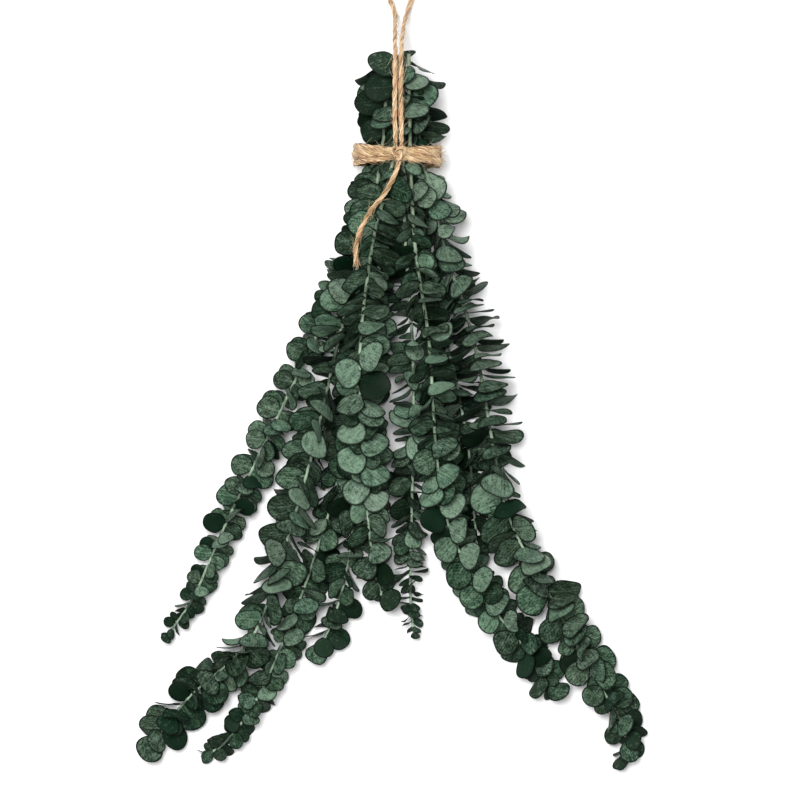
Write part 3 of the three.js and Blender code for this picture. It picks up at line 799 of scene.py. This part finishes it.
def along(points, step):
    # the same path with even steps
    gaps = np.linalg.norm(np.diff(points, axis=0), axis=1)
    run = np.concatenate([[0], np.cumsum(gaps)])
    places = np.linspace(0, run[-1], max(8, int(run[-1] / step)))
    return np.column_stack([np.interp(places, run, points[:, i]) for i in range(3)]), places


def addTwine(gathered, route, random, thin=1.0, flat=(1.0, 1.0), cutEnd=False):
    points, places = along(route, jute["step"])
    if cutEnd:
        # cut strands stand out past the end of the yarn by different lengths
        whisker = np.arange(1, 3) * jute["step"]
        points = np.vstack([points, points[-1] + np.outer(whisker, unit(points[-1] - points[-2]))])
        places = np.append(places, places[-1] + whisker)
    _, across, up = frames(points)
    knots = np.linspace(0, places[-1], max(6, int(places[-1] / jute["wanderLength"])))
    for strand in range(jute["strands"]):
        # strands fill the yarn evenly from its middle outwards
        out = jute["yarnRadius"] * math.sqrt((strand + 0.5) / jute["strands"])
        start = strand * jute["goldenAngle"]
        drift = np.interp(places, knots, random.normal(size=len(knots))) * jute["wander"]
        swing = np.interp(places, knots, random.normal(size=len(knots))) * jute["swing"]
        turn = start + 2 * math.pi * places / jute["pitch"] + swing
        sideways = np.cos(turn) * (out + drift) * thin * flat[0]
        upwards = np.sin(turn) * (out + drift) * thin * flat[1]
        radii = np.full(len(places), jute["strandRadius"] * thin * random.uniform(*jute["strandSizes"]))
        if cutEnd:
            loose = np.clip((places - places[-1] + frayed["length"]) / frayed["length"], 0, 1) ** 1.5
            sideways = sideways * (1 + loose * frayed["spread"])
            upwards = upwards * (1 + loose * frayed["spread"])
            radii = radii * (1 - frayed["thinner"] * loose)
        middle = points + across * sideways[:, None] + up * upwards[:, None]
        if cutEnd:
            middle = middle[: len(middle) - strand % 3]
            radii = radii[: len(middle)]
        corners, quads, tris = tubeMesh(middle, radii, jute["sides"])
        sides, count = jute["sides"], len(middle)
        turns = np.tile(np.arange(sides) / sides, count)
        maps = np.column_stack([np.append(turns + strand * 1.7, [0, 0]),
                                np.append(np.repeat(places[:count], sides), [0, places[count - 1]])])
        shade = np.full(len(corners), np.clip(random.normal(jute["tone"], jute["toneSpread"]), 0, 1))
        gathered.add(inFrame(corners), quads, tris, 0, maps, np.zeros((len(corners), 3)), shade)


def twinePiece(name, nodes, routes, seed, **how):
    random = np.random.default_rng(seed)
    gathered = Gathered()
    for route in routes:
        addTwine(gathered, route, random, **how)
    piece = gathered.build(name, [juteFibre], "strandMap", None, "strandTone")
    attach(piece, "root")
    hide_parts(*nodes)
    return piece


loopPath, tailPath = smoothRoute(loopRoute, 160), smoothRoute(tailRoute, 60)
twineLoop = twinePiece("twineLoop", ["twine_loop"], [loopPath], 31)
twineTail = twinePiece("twineTail", ["twine_tail"], [tailPath], 32, cutEnd=True)
for piece, path, farEnd in ((twineLoop, loopPath, "object"), (twineTail, tailPath, "bare")):
    points = inFrame(path)

# The tie: the turns lie side by side and draw together under the knot
wrap = {
    "spread": 2.35, "drawn": 0.5, "drawnWidth": 14, "knotAt": 1.0, "uneven": 0.7, "unevenPlaces": 26,
    "steps": 90, "seed": 33, "flat": (1.3, 0.75),
}
slant = {"turns": 1.5, "spread": -7.0, "inset": 0.9, "seed": 37}


def wrapRoute(count, spread, inset, seed):
    random = np.random.default_rng(seed)
    turns = np.arange(int(count * wrap["steps"]) + 1) / wrap["steps"]
    angle = 2 * math.pi * turns - math.pi / 2
    x = (tie["halfWidth"] - inset) * np.cos(angle)
    z = tie["centreHeight"] + (tie["halfHeight"] - inset) * np.sin(angle)
    y = spread * (turns - count / 2)
    places = wrap["unevenPlaces"]
    y += wrap["uneven"] * np.interp(turns, np.linspace(0, count, places), random.normal(size=places))
    front = np.exp(-(((x - wrap["knotAt"]) / wrap["drawnWidth"]) ** 2)) * (z > tie["centreHeight"])
    y *= 1 - wrap["drawn"] * front
    return np.column_stack([x, y, z])


wrapTurns = wrapRoute(tie["turns"], wrap["spread"], tie["twine"] / 2, wrap["seed"])
# one and a half turns more, laid slantwise over the others
wrapSlant = wrapRoute(slant["turns"], slant["spread"], slant["inset"], slant["seed"])
twinePiece("twineBand", ["twine_band"], [wrapTurns, wrapSlant], 34, flat=wrap["flat"])

# The knot: the strand passes over and under itself, with the free ends coming out of it
knot = {"centre": (1.0, 0, 51.1), "across": 1.35, "along": 1.5, "high": 1.25, "thin": 0.78}


def knotRoutes():
    t = np.linspace(0, 2 * math.pi, 90)
    bow = np.column_stack([knot["across"] * (np.sin(t) + 2 * np.sin(2 * t)),
                           knot["along"] * (np.cos(t) - 2 * np.cos(2 * t)),
                           -knot["high"] * np.sin(3 * t)])
    ends = [smoothRoute([loopRoute[0], (-0.6, 4, 51), (0.6, 1.5, 50.6), (2.5, -1.5, 50)], 20),
            smoothRoute([loopRoute[-1], (2.4, 4, 51), (0.8, 1.5, 51), (-1.5, -1.5, 50)], 20),
            smoothRoute([tailRoute[0], (1.4, -4, 51), (1.8, -1.5, 51), (2.2, 1.5, 50)], 20)]
    return np.array(knot["centre"]) + bow, ends


knotBow, knotEnds = knotRoutes()
twinePiece("twineKnot", ["twine_knot"], [knotBow, *knotEnds], 35, thin=knot["thin"])

# Loose fibres that stand off the twine
fuzz = {
    "perMillimetre": 1.1, "length": (2.5, 8), "radius": 0.1, "end": 0.35, "curl": 1.8, "lift": (0.05, 0.7),
    "rootAt": 1.25, "points": 6, "clearance": 0.2, "tones": (0.4, 1), "seed": 36,
}


def fuzzPiece():
    random = np.random.default_rng(fuzz["seed"])
    gathered = Gathered()
    share = np.linspace(0, 1, fuzz["points"])[:, None]
    radii = fuzz["radius"] * np.linspace(1, fuzz["end"], fuzz["points"])
    for route in (loopPath, tailPath, wrapTurns, wrapSlant, knotBow):
        points, places = along(route, 0.5)
        tangents, across, up = frames(points)
        for _ in range(int(places[-1] * fuzz["perMillimetre"])):
            i = random.integers(2, len(points) - 2)
            turn = random.uniform(0, 2 * math.pi)
            outward = across[i] * math.cos(turn) + up[i] * math.sin(turn)
            start = points[i] + outward * fuzz["rootAt"]
            way = unit(tangents[i] * random.choice([-1, 1]) + outward * random.uniform(*fuzz["lift"]))
            bend = unit(random.normal(size=3)) * fuzz["curl"]
            length = random.uniform(*fuzz["length"])
            hair = start + way * (share * length) + bend * share**2
            hair[:, 2] = np.maximum(hair[:, 2], surfaceHeight + fuzz["clearance"])
            corners, quads, tris = tubeMesh(hair, radii, 3)
            shade = np.full(len(corners), random.uniform(*fuzz["tones"]))
            gathered.add(inFrame(corners), quads, tris, 0, np.zeros((len(corners), 2)),
                         np.zeros((len(corners), 3)), shade)
    piece = gathered.build("twineFuzz", [juteFibre], "strandMap", None, "strandTone")
    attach(piece, "root")


fuzzPiece()
print("twine built")

# A plain pale floor and soft light
studio = {
    "floor": (0.92, 0.92, 0.92), "floorHalf": 3, "floorRoughness": 0.9, "world": 0.32,
    "key": 82, "keySize": 1.0, "keyPlace": (-0.35, 0.45, 2.5),
    "fill": 16, "fillSize": 2.0, "fillPlace": (0.9, -1.5, 1.4),
}


def floorPiece():
    mesh = bpy.data.meshes.new("floor")
    half = studio["floorHalf"]
    corners = [(-half, -half, 0), (half, -half, 0), (half, half, 0), (-half, half, 0)]
    mesh.from_pydata(corners, [], [(0, 1, 2, 3)])
    floor = bpy.data.objects.new("floor", mesh)
    bpy.context.scene.collection.objects.link(floor)
    paper = Recipe("palePaper")
    paper.surface.inputs["Base Color"].default_value = (*studio["floor"], 1)
    paper.surface.inputs["Roughness"].default_value = studio["floorRoughness"]
    tooth = paper.noise(paper.node("TexCoord").outputs["Object"], 900.0, 2.0)
    paper.relief(tooth, 0.1, 0.0002)
    mesh.materials.append(paper.material)


def softLight(name, place, size, power):
    data = bpy.data.lights.new(name, "AREA")
    data.energy = power
    data.size = size
    lamp = bpy.data.objects.new(name, data)
    bpy.context.scene.collection.objects.link(lamp)
    lamp.location = place
    lamp.rotation_mode = "QUATERNION"
    lamp.rotation_quaternion = (-Vector(place)).to_track_quat("-Z", "Y")


floorPiece()
softLight("keyLight", studio["keyPlace"], studio["keySize"], studio["key"])
softLight("fillLight", studio["fillPlace"], studio["fillSize"], studio["fill"])
world = bpy.data.worlds.new("studio")
world.use_nodes = True
sky = world.node_tree.nodes["Background"]
sky.inputs["Color"].default_value = (1, 1, 1, 1)
sky.inputs["Strength"].default_value = studio["world"]
bpy.context.scene.world = world
bpy.context.scene.view_settings.view_transform = "Standard"
print("stage set")
